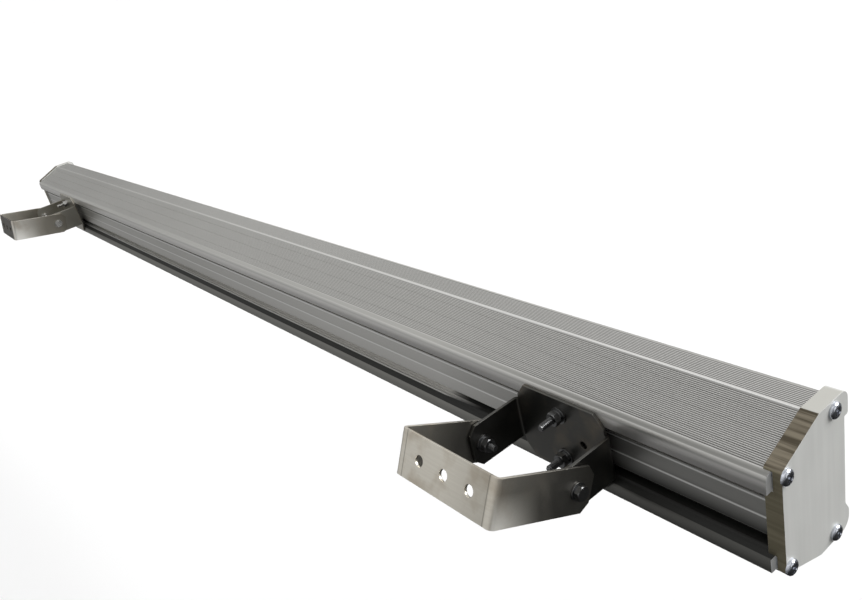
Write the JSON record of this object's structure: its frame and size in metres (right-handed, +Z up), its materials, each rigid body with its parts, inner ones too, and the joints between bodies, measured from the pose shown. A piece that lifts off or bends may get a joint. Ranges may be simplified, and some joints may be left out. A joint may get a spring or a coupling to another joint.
{
  "type": "linear wall washer light",
  "caption": "Long ribbed aluminium outdoor light bar with a glass front, grey end caps and sliding, tilting steel mounting yokes on its back.",
  "frame": {"origin": "on the tilt axis of both brackets, at the middle of the housing's length", "axes": "+X along the housing, +Y the way the light shines, +Z up"},
  "size_m": [1.0152, 0.1206, 0.0654],
  "materials": {
    "housing_aluminium": "satin anodised, fine ribs",
    "window_glass": "clear toughened",
    "seal_rubber": "matte",
    "board_white": "white solder mask",
    "chip_yellow": "phosphor dome",
    "lens_clear": "clear moulded",
    "holder_black": "matte",
    "zinc_steel": "bright zinc plated",
    "pad_grey": "soft heat pad",
    "board_green": "solder mask",
    "capacitor_blue": "sleeved",
    "transformer_yellow": "taped",
    "terminal_green": "moulded",
    "cap_grey": "fine satin",
    "gland_black": "moulded nylon",
    "gland_rubber": "matte",
    "plate_steel": "stainless sheet",
    "yoke_steel": "stainless sheet, lightly stained"
  },
  "bodies": {
    "housing": {"housing_profile": "housing_aluminium", "glass_cover": "window_glass", "glass_seals": "seal_rubber", "led_board": "board_white", "led_chips": "chip_yellow", "lenses": "lens_clear", "lens_holders": "holder_black", "board_screws": "zinc_steel", "driver_pad": "pad_grey", "driver_board": "board_green", "driver_capacitors": "capacitor_blue", "driver_transformer": "transformer_yellow", "driver_terminal": "terminal_green", "right_end_cap": "cap_grey", "left_end_cap": "cap_grey", "right_cap_gasket": "seal_rubber", "left_cap_gasket": "seal_rubber", "right_cap_screws": "zinc_steel", "left_cap_screws": "zinc_steel", "gland_body": "gland_black", "gland_ring": "gland_rubber", "gland_seal": "gland_rubber", "gland_nut": "gland_black"},
    "right_slider": {"right_slide_plate": "plate_steel", "right_slot_bolts": "zinc_steel", "right_slot_washers": "zinc_steel", "right_slot_springs": "zinc_steel", "right_slot_nuts": "zinc_steel", "right_pivot_bolts": "zinc_steel", "right_pivot_washers": "zinc_steel", "right_pivot_springs": "zinc_steel", "right_pivot_nuts": "zinc_steel", "right_pivot_spacers": "zinc_steel"},
    "right_yoke_body": {"right_yoke": "yoke_steel"},
    "left_slider": {"left_slide_plate": "plate_steel", "left_slot_bolts": "zinc_steel", "left_slot_washers": "zinc_steel", "left_slot_springs": "zinc_steel", "left_slot_nuts": "zinc_steel", "left_pivot_bolts": "zinc_steel", "left_pivot_washers": "zinc_steel", "left_pivot_springs": "zinc_steel", "left_pivot_nuts": "zinc_steel", "left_pivot_spacers": "zinc_steel"},
    "left_yoke_body": {"left_yoke": "yoke_steel"}
  },
  "joints": [
    {"name": "right_slide", "type": "slide", "parent": "housing", "child": "right_slider", "axis": [1, 0, 0], "range_m": [-0.35, 0.065]},
    {"name": "right_tilt", "type": "hinge", "parent": "right_slider", "child": "right_yoke_body", "pos_m": [0.396, 0, 0], "axis": [1, 0, 0], "range_deg": [-87.6, 142.4]},
    {"name": "left_slide", "type": "slide", "parent": "housing", "child": "left_slider", "axis": [1, 0, 0], "range_m": [-0.08, 0.35]},
    {"name": "left_tilt", "type": "hinge", "parent": "left_slider", "child": "left_yoke_body", "pos_m": [-0.377, 0, 0], "axis": [1, 0, 0], "range_deg": [-103.2, 126.8]}
  ]
}
